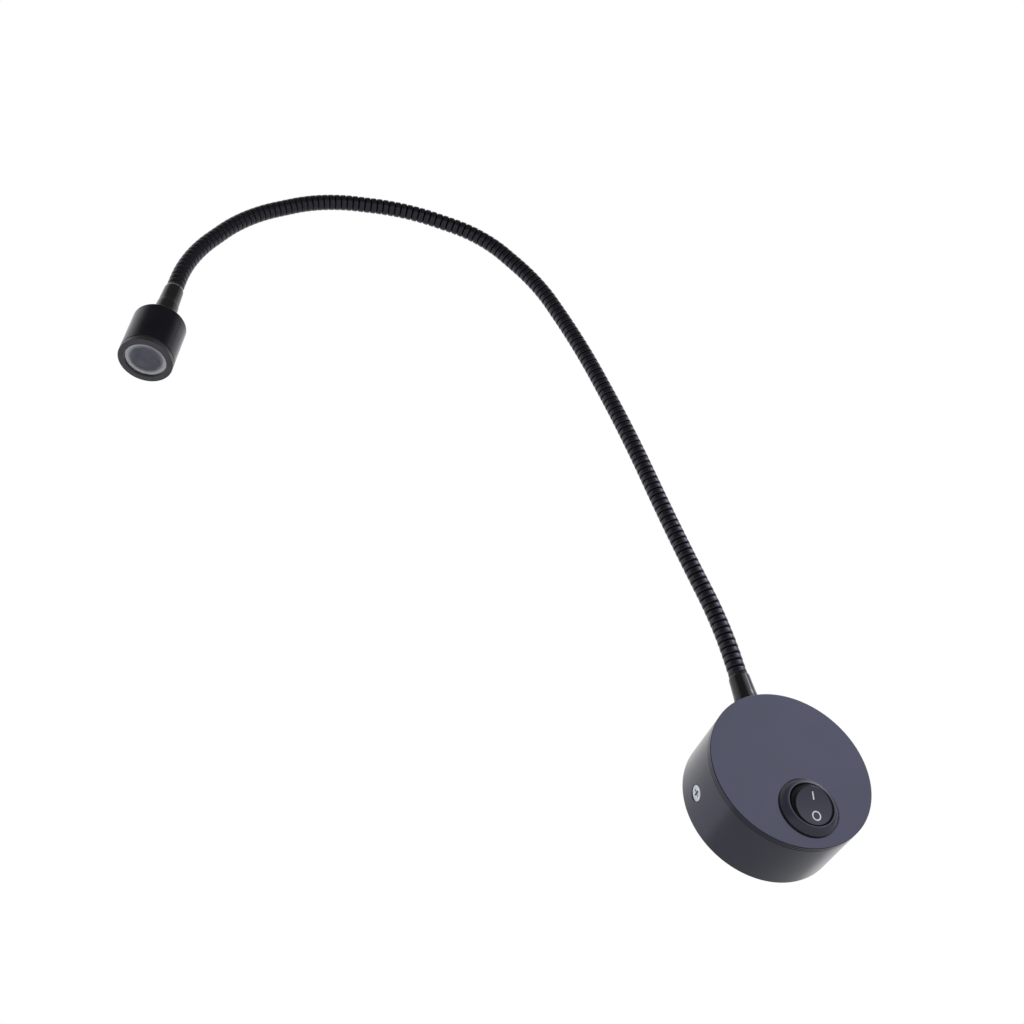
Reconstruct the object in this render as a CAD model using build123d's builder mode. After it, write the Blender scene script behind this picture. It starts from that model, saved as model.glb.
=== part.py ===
"""Bedside wall reading lamp: a round wall base with a rocker switch, a ribbed
flexible neck and a small spot head. Millimetres, +Z up, +Y into the wall, with
the origin on the wall plane at the centre of the base."""

import os
from math import cos, pi, radians, sin, sqrt

from build123d import *

os.makedirs("parts", exist_ok=True)

# ---------------------------------------------------------------- driving sizes
# base can
base_radius = 40.0
base_depth = 35.4
base_wall = 3.5
face_thickness = 3.0
front_chamfer = 0.2
rear_chamfer = 0.4
groove_count = 3
first_groove = 0.5
groove_spacing = 1.3
groove_width = 0.35
groove_depth = 0.4

# wall bracket and the screws that hold the can on it
bracket_length = 68.8
bracket_width = 20.0
bracket_sheet = 1.2
ear_reach = 18.0
slot_length = 20.0
slot_width = 8.2
slot_spacing = 40.0
side_screw_y = -13.4
screw_radius = 1.95
screw_head_radius = 3.8
screw_length = 10.2

# rocker switch
switch_x = 1.6
switch_z = -20.3
switch_turn = 4.0
bezel_radius = 14.6
bezel_ridge_radius = 11.3
bezel_height = 3.45
opening_radius = 10.65
switch_body_radius = 13.0
switch_body_depth = 17.9
rock_half_angle = 10.7
pivot_depth = 6.2

# neck: a hose cut into sections, each an arc with straight ends
neck_y = -17.7
hose_radius = 4.8
groove_floor_radius = 4.25
hose_bore = 2.6
rib_pitch = 3.95
rib_counts = [14, 19, 19, 17, 13, 13, 13, 14, 14, 15]
section_turns = [9, -2, 3.5, 6, 18.5, 34.5, 20.5, 28, 24, 23.8]
hose_tail = 12.0
outer_straight = 9.4
joint_straight = 5.4
lead_radius = 1.3

# ball joint between two sections
ball_radius = 3.6
socket_radius = 3.9
lip_below = 1.6
shoulder_below = 3.7
ball_neck_radius = 2.2
ball_top = 2.0
cap_thickness = 1.2

# ferrule and threaded end; the hose comes out of the base's a little lower
ferrule_length = 24.1
base_sleeve_length = 21.9
ferrule_foot_radius = 6.4
ferrule_top_radius = 5.4
ferrule_tip_radius = 5.0
stub_radius = 4.95
thread_radius = 5.0
nut_across_flats = 14.0
nut_thickness = 3.0
spot_face_z = 39.4
inner_spot_z = 36.5

# spot head, lengths counted from its front face
head_radius = 14.5
head_length = 30.5
head_wall = 1.4
head_back = 3.0
head_boss_radius = 6.7
head_boss_length = 6.8
head_rear_round = 1.1
ring_length = 3.2
ring_opening_radius = 11.1

front_y = -base_depth
inner_y = front_y + face_thickness
inner_radius = base_radius - base_wall
section_lengths = [count * rib_pitch for count in rib_counts]
section_count = len(rib_counts)


# ---------------------------------------------------------------- helpers
def turned(profile, plane):
    """A turned piece: a closed profile of (radius, height) points spun round the
    plane's own y direction."""
    with BuildPart() as piece:
        with BuildSketch(plane):
            with BuildLine():
                Polyline(*profile, close=True)
            make_face()
        revolve(axis=Axis(plane.origin, plane.y_dir))
    return piece


def lead_along(points, radii, radius):
    """A round lead along straight runs joined by tangent arcs."""
    with BuildPart() as piece:
        with BuildLine():
            route = FilletPolyline(*points, radius=radii)
        start = Vector(*points[0])
        with BuildSketch(Plane(origin=start, z_dir=Vector(*points[1]) - start)):
            Circle(radius)
        sweep()
    length = route.length
    print("lead", round(length, 1), "mm, smallest radius", min(radii),
          "volume ratio", round(piece.part.volume / (pi * radius**2 * length), 3))
    return piece


# ---------------------------------------------------------------- base can
with BuildPart() as base_housing:
    with BuildSketch(Plane.XY):
        with BuildLine():
            Polyline(
                (0, front_y),
                (base_radius, front_y),
                (base_radius, 0),
                (inner_radius, 0),
                (inner_radius, inner_y),
                (0, inner_y),
                close=True,
            )
        make_face()
    revolve(axis=Axis.Y)
    rims = base_housing.edges().filter_by(GeomType.CIRCLE).group_by(Axis.Y)
    chamfer(rims[0], front_chamfer)
    rear_rims = base_housing.edges().filter_by(GeomType.CIRCLE).group_by(Axis.Y)[-1]
    chamfer(rear_rims, rear_chamfer)
    # fine turned grooves just behind the front edge
    with BuildSketch(Plane.XY):
        for groove in range(groove_count):
            with Locations((base_radius, front_y + first_groove + groove * groove_spacing)):
                Rectangle(2 * groove_depth, groove_width)
    revolve(axis=Axis.Y, mode=Mode.SUBTRACT)
    # bore for the neck's threaded end, with a flat seat on both sides
    with BuildSketch(Plane.XY.offset(inner_spot_z - 5)):
        with Locations((0, neck_y)):
            Circle(thread_radius + 0.1)
    extrude(amount=15, mode=Mode.SUBTRACT)
    with BuildSketch(Plane.XY.offset(spot_face_z)):
        with Locations((0, neck_y)):
            Circle(ferrule_foot_radius + 0.15)
    extrude(amount=2, mode=Mode.SUBTRACT)
    with BuildSketch(Plane.XY.offset(inner_spot_z)):
        with Locations((0, neck_y)):
            Circle(9)
    extrude(amount=-1.5, mode=Mode.SUBTRACT)
    # round hole for the switch in the face
    with BuildSketch(Plane.XZ.offset(base_depth + 1)):
        with Locations((switch_x, switch_z)):
            Circle(switch_body_radius + 0.1)
    extrude(amount=-(face_thickness + 2), mode=Mode.SUBTRACT)
    # countersunk screw holes through the side wall
    for side in (-1, 1):
        seat = Plane(origin=(side * base_radius, side_screw_y, 0), z_dir=(side, 0, 0))
        with Locations(seat):
            CounterSinkHole(radius=2.2, counter_sink_radius=4.5, depth=8, counter_sink_angle=90)

# ---------------------------------------------------------------- wall bracket
half_length = bracket_length / 2
with BuildPart() as wall_bracket:
    with BuildSketch(Plane.XY.offset(-bracket_width / 2)):
        with BuildLine():
            Polyline(
                (-half_length, -ear_reach),
                (-half_length, 0),
                (half_length, 0),
                (half_length, -ear_reach),
                (half_length - bracket_sheet, -ear_reach),
                (half_length - bracket_sheet, -bracket_sheet),
                (-half_length + bracket_sheet, -bracket_sheet),
                (-half_length + bracket_sheet, -ear_reach),
                close=True,
            )
        make_face()
    extrude(amount=bracket_width)
    bends = wall_bracket.edges().filter_by(Axis.Z).group_by(Axis.Y)
    fillet(bends[-1], 2.0)
    inner_bends = wall_bracket.edges().filter_by(Axis.Z).filter_by_position(
        Axis.Y, -bracket_sheet - 0.01, -bracket_sheet + 0.01
    )
    fillet(inner_bends, 0.8)
    ear_corners = wall_bracket.edges().filter_by(Axis.X).group_by(Axis.Y)[0]
    fillet(ear_corners, 0.6)
    with BuildSketch(Plane.XZ):
        with Locations((-slot_spacing / 2, 0), (slot_spacing / 2, 0)):
            SlotOverall(slot_length, slot_width)
    extrude(amount=2 * bracket_sheet, both=True, mode=Mode.SUBTRACT)
    # extruded collars for the screw threads, drawn inwards
    for side in (-1, 1):
        with Locations((side * (half_length - bracket_sheet - 0.5), side_screw_y, 0)):
            Cylinder(radius=3.0, height=1.8, rotation=(0, 90, 0))
            Cylinder(radius=screw_radius + 0.05, height=8, rotation=(0, 90, 0), mode=Mode.SUBTRACT)

# countersunk cross-recess screws, one from each side
head_top_x = base_radius - 0.35
with BuildPart() as bracket_screws:
    with BuildSketch(Plane(origin=(0, side_screw_y, 0))):
        with BuildLine():
            Polyline(
                (head_top_x, 0),
                (head_top_x, screw_head_radius),
                (head_top_x - 0.3, screw_head_radius),
                (head_top_x - 0.3 - (screw_head_radius - screw_radius), screw_radius),
                (head_top_x - screw_length + 0.6, screw_radius),
                (head_top_x - screw_length, screw_radius - 0.6),
                (head_top_x - screw_length, 0),
                close=True,
            )
        make_face()
    revolve(axis=Axis((0, side_screw_y, 0), (1, 0, 0)))
    with BuildSketch(Plane.YZ.offset(head_top_x)):
        with Locations((side_screw_y, 0)):
            Rectangle(4.2, 0.9)
            Rectangle(0.9, 4.2)
    extrude(amount=-1.7, taper=12, mode=Mode.SUBTRACT)
    mirror(about=Plane.YZ)

# ---------------------------------------------------------------- rocker switch
# switch plane: x along the rocker's pivot, y towards its raised end, z to the room
turn = radians(switch_turn)
pivot_axis = Vector(cos(turn), 0, -sin(turn))
switch_plane = Plane(
    origin=(switch_x, front_y - bezel_height, switch_z), x_dir=pivot_axis, z_dir=(0, -1, 0)
)
switch_profile = Plane(origin=switch_plane.origin, x_dir=pivot_axis, z_dir=switch_plane.y_dir * -1)
pivot_plane = switch_plane.offset(-pivot_depth)
cavity_radius = 12.0
pin_radius = 1.15
ridge_width = 0.35
slope_foot = -2.1
slope_top = -0.1
body_bottom = bezel_height + switch_body_depth
floor_depth = body_bottom - 1.5

with BuildPart() as switch_housing:
    with BuildSketch(switch_profile):
        with BuildLine():
            Polyline(
                (switch_body_radius, -bezel_height),
                (bezel_radius, -bezel_height),
                (bezel_radius - 0.1, -2.55),
                (bezel_radius - 0.5, slope_foot),
            )
            # the broad sloped band, slightly convex
            ThreePointArc(
                (bezel_radius - 0.5, slope_foot),
                (bezel_radius - 1.6, (slope_foot + slope_top) / 2 + 0.16),
                (bezel_ridge_radius + 0.4, slope_top),
            )
            Polyline(
                (bezel_ridge_radius + 0.4, slope_top),
                (bezel_ridge_radius, 0),
                (bezel_ridge_radius - ridge_width, 0),
                (opening_radius, -0.25),
                (opening_radius, -0.45),
                (cavity_radius, -1.9),
                (cavity_radius, -floor_depth),
                (0, -floor_depth),
                (0, -body_bottom),
                (switch_body_radius - 0.6, -body_bottom),
                (switch_body_radius, -body_bottom + 0.6),
                (switch_body_radius, -bezel_height),
            )
        make_face()
    revolve(axis=Axis(switch_plane.origin, switch_profile.y_dir))
    # two snap wedges that hold the body behind the panel
    for side in (-1, 1):
        with BuildSketch(Plane(origin=switch_plane.origin, x_dir=switch_plane.y_dir, z_dir=pivot_axis)):
            with BuildLine():
                Polyline(
                    (side * (switch_body_radius - 0.3), -bezel_height - face_thickness - 0.1),
                    (side * (switch_body_radius + 0.9), -bezel_height - face_thickness - 0.1),
                    (side * (switch_body_radius - 0.3), -bezel_height - face_thickness - 4.0),
                    close=True,
                )
            make_face()
        extrude(amount=2.5, both=True)
    # blade openings in the floor
    with BuildSketch(switch_plane.offset(-body_bottom)):
        with Locations((0, 0), (0, -7)):
            Rectangle(5.0, 1.0)
    extrude(amount=3, mode=Mode.SUBTRACT)
    # holes for the rocker's pins
    with BuildSketch(Plane(origin=pivot_plane.origin, x_dir=pivot_plane.y_dir, z_dir=pivot_axis)):
        Circle(pin_radius + 0.15)
    extrude(amount=switch_body_radius + 1, both=True, mode=Mode.SUBTRACT)

# rocker: a round button, a slice of a ball about its pivot, with a gently dished top
tilt = radians(rock_half_angle)
button_ball_radius = 11.9
button_rim_height = 7.85
button_dish = 0.35
button_bottom = 3.3
skirt_radius = 11.1
stem_length = 9.85
button_plane = Plane(
    origin=pivot_plane.origin,
    x_dir=pivot_axis,
    z_dir=pivot_plane.z_dir * cos(tilt) - pivot_plane.y_dir * sin(tilt),
)
button_side = Plane(origin=button_plane.origin, x_dir=button_plane.y_dir, z_dir=pivot_axis)
wing = sqrt(button_ball_radius**2 - button_rim_height**2)
with BuildPart() as rocker_button:
    with BuildSketch(button_side):
        with BuildLine():
            Line((0, 0), (0, -button_ball_radius))
            ThreePointArc((0, -button_ball_radius), (button_ball_radius, 0), (0, button_ball_radius))
            Line((0, button_ball_radius), (0, 0))
        make_face()
    revolve(axis=Axis(button_plane.origin, button_plane.z_dir))
    with BuildSketch(button_plane.offset(button_bottom)):
        Circle(skirt_radius)
    extrude(amount=10, mode=Mode.INTERSECT)
    # the dish is the same all along the pivot's direction
    with BuildSketch(button_side):
        with BuildLine():
            Line((-2 * wing, button_rim_height), (-wing, button_rim_height))
            ThreePointArc(
                (-wing, button_rim_height),
                (0, button_rim_height - button_dish),
                (wing, button_rim_height),
            )
            Polyline(
                (wing, button_rim_height),
                (2 * wing, button_rim_height),
                (2 * wing, 2 * wing),
                (-2 * wing, 2 * wing),
                (-2 * wing, button_rim_height),
            )
        make_face()
    extrude(amount=2 * wing, both=True, mode=Mode.SUBTRACT)
    top_face = rocker_button.faces().sort_by(Axis(button_plane.origin, button_plane.z_dir))[-1]
    fillet(top_face.edges(), 0.35)
    # an ear with a pin on either side, which the rocker turns on
    for side in (-1, 1):
        with BuildSketch(button_side.offset(side * 10.1)):
            with Locations((0, (button_bottom + 0.3 - 1.8) / 2)):
                Rectangle(4.4, button_bottom + 0.3 + 1.8)
        extrude(amount=0.7, both=True)
        with BuildSketch(button_side.offset(side * 10.1)):
            Circle(pin_radius)
        extrude(amount=side * 2.5)
    # stem under the button, bored for the spring and its plunger
    with BuildSketch(button_plane.offset(button_bottom)):
        Circle(2.7)
    extrude(amount=-stem_length)
    with BuildSketch(button_plane.offset(button_bottom - stem_length)):
        Circle(1.7)
    extrude(amount=7.5, mode=Mode.SUBTRACT)

plunger_tip = 10.7
plunger_top = -4.95
plunger_round = 1.2
tip_centre = -(plunger_tip - plunger_round)
with BuildPart() as switch_plunger:
    with BuildSketch(button_side):
        with BuildLine():
            Polyline(
                (0, plunger_top), (1.6, plunger_top), (1.6, tip_centre + 0.9), (plunger_round, tip_centre)
            )
            RadiusArc((plunger_round, tip_centre), (0, -plunger_tip), plunger_round)
            Line((0, -plunger_tip), (0, plunger_top))
        make_face()
    revolve(axis=Axis(button_plane.origin, button_plane.z_dir))

# spring between button and plunger, wound from quarter turns
spring_radius = 1.2
spring_wire = 0.2
spring_turns = 5
spring_start = -4.9
spring_height = 5.6
spring_step = spring_height / spring_turns


def spring_point(quarter):
    """A point of the spring's centre line, counted in quarter turns."""
    angle = quarter * pi / 2
    height = spring_start + spring_wire + spring_step * quarter / 4
    local = Vector(spring_radius * cos(angle), spring_radius * sin(angle), height)
    return button_plane.from_local_coords(local)


with BuildPart() as switch_spring:
    with BuildLine() as spring_path:
        for quarter in range(4 * (spring_turns - 1)):
            ThreePointArc(
                spring_point(quarter), spring_point(quarter + 0.5), spring_point(quarter + 1)
            )
    first_edge = spring_path.edges().sort_by(Axis(button_plane.origin, button_plane.z_dir))[0]
    with BuildSketch(Plane(origin=spring_point(0), z_dir=first_edge.tangent_at(0))):
        Circle(spring_wire)
    sweep()
print("spring, least gap between its turns", round(spring_step - 2 * spring_wire, 2), "mm")

# see-saw contact on its terminal, tilted the other way by the plunger
contact_height = -11.15
contact_tilt = 7.0
contact_half = 7.5
contact_sheet = 0.6
contact_origin = pivot_plane.offset(contact_height).origin
contact_angle = radians(contact_tilt)
contact_side = Plane(
    origin=contact_origin,
    x_dir=pivot_plane.y_dir * cos(contact_angle) - pivot_plane.z_dir * sin(contact_angle),
    z_dir=pivot_axis,
)
with BuildPart() as contact_lever:
    with BuildSketch(contact_side):
        Rectangle(2 * contact_half, contact_sheet)
    extrude(amount=2.0, both=True)
    with BuildSketch(contact_side):
        with Locations((-contact_half + 1.2, -contact_sheet / 2 - 0.15)):
            Rectangle(1.8, 0.3)
    extrude(amount=0.9, both=True)

terminal_side = Plane(origin=pivot_plane.origin, x_dir=pivot_plane.y_dir, z_dir=pivot_axis)
blade_tip = -(body_bottom - pivot_depth) - 8.0
common_top = contact_height - contact_sheet / 2 - 0.05
load_top = contact_height - contact_sheet / 2 - contact_half * sin(contact_angle) - 0.3
with BuildPart() as switch_terminals:
    for blade_v, blade_top in ((0, common_top), (-7, load_top)):
        with BuildSketch(terminal_side):
            with Locations((blade_v, (blade_top + blade_tip) / 2)):
                Rectangle(0.8, blade_top - blade_tip)
        extrude(amount=2.4, both=True)
    tips = switch_terminals.edges().filter_by(Axis(switch_plane.origin, switch_plane.z_dir))
    chamfer(tips, 0.15)

# ---------------------------------------------------------------- neck geometry
def heading_vector(heading):
    """Direction in the neck's plane; 0 is straight up, positive turns to -X."""
    return Vector(-sin(radians(heading)), 0, cos(radians(heading)))


def turning_vector(heading):
    """Square to the heading, on the side that a positive turn bends to."""
    return Vector(-cos(radians(heading)), 0, -sin(radians(heading)))


section_starts = [Vector(0, neck_y, spot_face_z + ferrule_length)]
section_headings = [0.0]


def straight_ends(index):
    """Lengths of a section's straight lower and upper ends."""
    lower = outer_straight if index == 0 else joint_straight
    upper = outer_straight if index == section_count - 1 else joint_straight
    return lower, upper


def hose_point(index, distance):
    """Point and heading at a distance along a section, beyond its ends too."""
    lower, upper = straight_ends(index)
    arc_length = section_lengths[index] - lower - upper
    start = section_starts[index]
    heading = section_headings[index]
    along = heading_vector(heading)
    if distance <= lower:
        return start + along * distance, heading
    bend = radians(section_turns[index])
    radius = arc_length / bend
    swept = bend * min(distance - lower, arc_length) / arc_length
    point = (
        start
        + along * (lower + radius * sin(swept))
        + turning_vector(heading) * (radius * (1 - cos(swept)))
    )
    heading = heading + swept * 180 / pi
    beyond = max(0.0, distance - lower - arc_length)
    return point + heading_vector(heading) * beyond, heading


for index in range(section_count):
    end_point, end_heading = hose_point(index, section_lengths[index])
    section_starts.append(end_point)
    section_headings.append(end_heading)
    print("hose joint", index + 1, [round(value, 3) for value in tuple(end_point)],
          "heading", round(end_heading, 3))


def hose_plane(index, distance):
    """Plane across the hose, with a steady x direction."""
    point, heading = hose_point(index, distance)
    return Plane(origin=point, x_dir=(0, 1, 0), z_dir=heading_vector(heading))


def joint_side(index):
    """Plane through a joint's centre with its y direction along the hose."""
    along = heading_vector(section_headings[index])
    return Plane(
        origin=section_starts[index], x_dir=(0, 1, 0), z_dir=Vector(0, 1, 0).cross(along)
    )


def path_inside(index, first, last):
    """Lines and an arc along a section from one distance to another."""
    lower, upper = straight_ends(index)
    arc_end = section_lengths[index] - upper
    Line(hose_point(index, first)[0], hose_point(index, lower)[0])
    ThreePointArc(
        hose_point(index, lower)[0],
        hose_point(index, (lower + arc_end) / 2)[0],
        hose_point(index, arc_end)[0],
    )
    Line(hose_point(index, arc_end)[0], hose_point(index, last)[0])


def hose_rings(index):
    """Distance and radius of the circles that the ribs are lofted through."""
    length = section_lengths[index]
    rings = []
    if index == 0:
        rings += [(-hose_tail, hose_radius), (0.0, hose_radius)]
    first = 0.5 if index == 0 else -lip_below
    last = length if index == section_count - 1 else length - shoulder_below
    while first + 1.4 < last:
        crest_end = min(first + 2.5, last - 0.5)
        rings += [
            (first, groove_floor_radius),
            (first + 0.5, hose_radius),
            (crest_end, hose_radius),
            (crest_end + 0.5, groove_floor_radius),
        ]
        first += rib_pitch
    if index == section_count - 1:
        rings += [(length + 0.4, hose_radius), (length + hose_tail, hose_radius)]
    return rings


def hose_section(index):
    """One section of the ribbed hose with its bore, socket and ball."""
    has_socket = index > 0
    has_ball = index < section_count - 1
    length = section_lengths[index]
    bore_start = -lip_below - 1 if has_socket else -hose_tail - 1
    bore_end = length - 1 if has_ball else length + hose_tail + 1
    with BuildPart() as piece:
        for distance, radius in hose_rings(index):
            with BuildSketch(hose_plane(index, distance)):
                Circle(radius)
        loft(ruled=True)
        with BuildLine():
            path_inside(index, bore_start, bore_end)
        with BuildSketch(hose_plane(index, bore_start)):
            Circle(hose_bore)
        sweep(mode=Mode.SUBTRACT)
        if has_socket:
            socket_side = joint_side(index)
            with BuildSketch(socket_side):
                with BuildLine():
                    Line((0, -socket_radius), (0, socket_radius))
                    ThreePointArc((0, socket_radius), (socket_radius, 0), (0, -socket_radius))
                make_face()
            revolve(axis=Axis(socket_side.origin, socket_side.y_dir), mode=Mode.SUBTRACT)
        if has_ball:
            ball_side = joint_side(index + 1)
            neck_meets = sqrt(ball_radius**2 - ball_neck_radius**2)
            crown_radius = sqrt(ball_radius**2 - ball_top**2)
            with BuildSketch(ball_side):
                with BuildLine():
                    Polyline(
                        (lead_radius + 0.3, -0.5),
                        (lead_radius + 0.3, -shoulder_below - cap_thickness),
                        (groove_floor_radius - 0.4, -shoulder_below - cap_thickness),
                        (groove_floor_radius - 0.4, -shoulder_below),
                        (ball_neck_radius, -shoulder_below),
                        (ball_neck_radius, -neck_meets),
                    )
                    ThreePointArc(
                        (ball_neck_radius, -neck_meets),
                        (ball_radius, 0),
                        (crown_radius, ball_top),
                    )
                    Polyline(
                        (crown_radius, ball_top),
                        (crown_radius - 0.3, ball_top),
                        (lead_radius + 0.45, -0.5),
                        (lead_radius + 0.3, -0.5),
                    )
                make_face()
            revolve(axis=Axis(ball_side.origin, ball_side.y_dir))
    return piece


def hose_lead(index, first, last):
    """The two-core lead inside one section."""
    with BuildPart() as piece:
        with BuildLine():
            path_inside(index, first, last)
        with BuildSketch(hose_plane(index, first)):
            Circle(lead_radius)
        sweep()
    return piece


lead_gap = 0.5
hose_sections = [hose_section(index) for index in range(section_count)]
hose_leads = [
    hose_lead(index, lead_gap, section_lengths[index] - lead_gap)
    for index in range(1, section_count - 1)
]

# ---------------------------------------------------------------- neck fittings
def sleeve_profile(length):
    """The tapered sleeve, widest at its foot and chamfered at its tip."""
    return [
        (ferrule_foot_radius, 0),
        (ferrule_foot_radius, 1.5),
        (6.1, 8.5),
        (5.83, 11.0),
        (5.68, 14.0),
        (ferrule_top_radius, length - 1.4),
        (ferrule_tip_radius, length),
        (hose_radius + 0.05, length),
        (hose_radius + 0.05, ferrule_length - hose_tail),
        (thread_radius, ferrule_length - hose_tail),
        (thread_radius, 0),
    ]


base_ferrule_plane = Plane(origin=(0, neck_y, spot_face_z), x_dir=(0, 1, 0), z_dir=(1, 0, 0))
base_ferrule = turned(sleeve_profile(base_sleeve_length), base_ferrule_plane)

stub_below = 10.0
stub_top = ferrule_length - hose_tail
base_stub = turned(
    [
        (lead_radius + 0.5, -stub_below + 1.2),
        (lead_radius + 1.5, -stub_below),
        (stub_radius - 0.4, -stub_below),
        (stub_radius, -stub_below + 0.4),
        (stub_radius, stub_top),
        (lead_radius + 0.5, stub_top),
    ],
    base_ferrule_plane,
)

washer_thickness = 0.8
tag_thickness = 0.8
with BuildPart() as base_washer:
    with BuildSketch(Plane.XY.offset(inner_spot_z - washer_thickness)):
        with Locations((0, neck_y)):
            Circle(7.6)
            Circle(stub_radius + 0.15, mode=Mode.SUBTRACT)
    extrude(amount=washer_thickness)

nut_top = inner_spot_z - washer_thickness - tag_thickness
with BuildPart() as base_locknut:
    with BuildSketch(Plane.XY.offset(nut_top - nut_thickness)):
        with Locations((0, neck_y)):
            RegularPolygon(nut_across_flats / 2, 6, major_radius=False, rotation=30)
            Circle(thread_radius, mode=Mode.SUBTRACT)
    extrude(amount=nut_thickness)
    chamfer(base_locknut.edges().filter_by(Axis.Z), 0.3)

# earth tag: a ring under the nut, a tongue towards the wall and a barrel downwards
terminal_y = -7.4
barrel_radius = 1.6
with BuildPart() as earth_tag:
    with BuildSketch(Plane.XY.offset(nut_top)):
        with Locations((0, neck_y)):
            Circle(7.2)
        with Locations((0, (neck_y + 5 + terminal_y) / 2)):
            Rectangle(3.2, terminal_y - neck_y - 5)
        with Locations((0, neck_y)):
            Circle(stub_radius + 0.15, mode=Mode.SUBTRACT)
    extrude(amount=tag_thickness)
    with BuildSketch(Plane.XY.offset(nut_top + tag_thickness)):
        with Locations((0, terminal_y)):
            Circle(barrel_radius)
    extrude(amount=-7.5)
    with BuildSketch(Plane.XY.offset(nut_top - 6.7)):
        with Locations((0, terminal_y)):
            Circle(0.95)
    extrude(amount=5.5, mode=Mode.SUBTRACT)

# ---------------------------------------------------------------- driver
driver_half_width = 19.0
driver_low_z = 3.0
driver_high_z = 25.0
pad_thickness = 0.8
driver_wall = 1.2
driver_front_y = inner_y + pad_thickness
driver_back_y = -12.6
driver_mid_z = (driver_low_z + driver_high_z) / 2
driver_height = driver_high_z - driver_low_z
lead_hole = 1.15

with BuildPart() as driver_pad:
    with BuildSketch(Plane.XZ.offset(-inner_y)):
        with Locations((0, driver_mid_z)):
            RectangleRounded(2 * driver_half_width - 6, driver_height - 5, 1.5)
    extrude(amount=-pad_thickness)

neutral_hole = (-20.0, 14.0)
switched_hole = (-6.0, -20.0)
output_hole = (5.0, -20.0)
with BuildPart() as driver_case:
    with BuildSketch(Plane.XZ.offset(-driver_front_y)):
        with Locations((0, driver_mid_z)):
            RectangleRounded(2 * driver_half_width, driver_height, 2.0)
    extrude(amount=-(driver_back_y - driver_front_y))
    with BuildSketch(Plane.XZ.offset(-driver_front_y - driver_wall)):
        with Locations((0, driver_mid_z)):
            RectangleRounded(2 * (driver_half_width - driver_wall), driver_height - 2 * driver_wall, 1.0)
    extrude(amount=-(driver_back_y - driver_front_y), mode=Mode.SUBTRACT)
    # a hole in three of the walls for the leads
    with Locations((driver_half_width, neutral_hole[0], neutral_hole[1])):
        Cylinder(lead_hole, 4, rotation=(0, 90, 0), mode=Mode.SUBTRACT)
    with Locations((switched_hole[0], switched_hole[1], driver_low_z)):
        Cylinder(lead_hole, 4, mode=Mode.SUBTRACT)
    with Locations((output_hole[0], output_hole[1], driver_high_z)):
        Cylinder(lead_radius + 0.2, 4, mode=Mode.SUBTRACT)

with BuildPart() as driver_lid:
    with BuildSketch(Plane.XZ.offset(-driver_back_y)):
        with Locations((0, driver_mid_z)):
            RectangleRounded(2 * driver_half_width, driver_height, 2.0)
    extrude(amount=-driver_wall)
    with BuildSketch(Plane.XZ.offset(-driver_back_y)):
        with Locations((0, driver_mid_z)):
            RectangleRounded(2 * (driver_half_width - driver_wall) - 0.3, driver_height - 2.7, 0.9)
            RectangleRounded(2 * (driver_half_width - driver_wall) - 2.7, driver_height - 5.1, 0.6,
                             mode=Mode.SUBTRACT)
    extrude(amount=1.0)

board_y = driver_front_y + driver_wall + 0.8
board_thickness = 1.2
board_top_y = board_y + board_thickness
with BuildPart() as driver_board:
    with BuildSketch(Plane.XZ.offset(-board_y)):
        with Locations((0, driver_mid_z)):
            RectangleRounded(34.6, 18.6, 0.5)
    extrude(amount=-board_thickness)

transformer_x = 8.0
with BuildPart() as driver_transformer:
    with BuildSketch(Plane.XZ.offset(-board_top_y)):
        with Locations((transformer_x, driver_mid_z - 1.5)):
            Rectangle(12.0, 11.0)
    extrude(amount=-1.5)
    with BuildSketch(Plane.XZ.offset(-board_top_y - 1.5)):
        with Locations((transformer_x, driver_mid_z - 1.5)):
            Rectangle(13.0, 4.6)
            Circle(5.2)
    extrude(amount=-8.0)
    with BuildSketch(Plane.XZ.offset(-board_top_y - 9.5)):
        with Locations((transformer_x, driver_mid_z - 1.5)):
            Rectangle(12.0, 10.4)
    extrude(amount=-1.2)

with BuildPart() as driver_capacitors:
    for cap_x, cap_z, cap_radius, cap_height in ((-11.5, 16.2, 3.9, 11.5), (-12.8, 8.6, 2.5, 9.0)):
        with BuildSketch(Plane.XZ.offset(-board_top_y)):
            with Locations((cap_x, cap_z)):
                Circle(cap_radius)
        extrude(amount=-cap_height)
    cap_rims = driver_capacitors.edges().filter_by(GeomType.CIRCLE)
    fillet(cap_rims, 0.4)

# ---------------------------------------------------------------- terminal block
block_low_z = 6.0
block_high_z = 19.0
block_front_y = driver_back_y + driver_wall
block_pole_spacing = 8.0
block_mid_z = (block_low_z + block_high_z) / 2
pole_places = [(-block_pole_spacing, terminal_y), (0, terminal_y), (block_pole_spacing, terminal_y)]
screw_places = [
    (column * block_pole_spacing, block_mid_z + row * 3.4) for column in (-1, 0, 1) for row in (-1, 1)
]
sleeve_radius = 2.5
with BuildPart() as terminal_block:
    with BuildSketch(Plane.XZ.offset(-block_front_y)):
        with Locations((0, block_mid_z)):
            RectangleRounded(24.0, block_high_z - block_low_z, 0.8)
    extrude(amount=-8.0)
    with BuildSketch(Plane.XY.offset(block_low_z - 1)):
        with Locations(*pole_places):
            Circle(sleeve_radius + 0.05)
    extrude(amount=block_high_z - block_low_z + 2, mode=Mode.SUBTRACT)
    with BuildSketch(Plane.XZ.offset(-block_front_y - 9.0)):
        with Locations(*screw_places):
            Circle(1.6)
    extrude(amount=4.0, mode=Mode.SUBTRACT)
    # cut between the poles
    with BuildSketch(Plane.XZ.offset(-block_front_y - 8.0)):
        with Locations((-block_pole_spacing / 2, block_mid_z), (block_pole_spacing / 2, block_mid_z)):
            Rectangle(1.0, 20)
    extrude(amount=2.5, mode=Mode.SUBTRACT)

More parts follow.
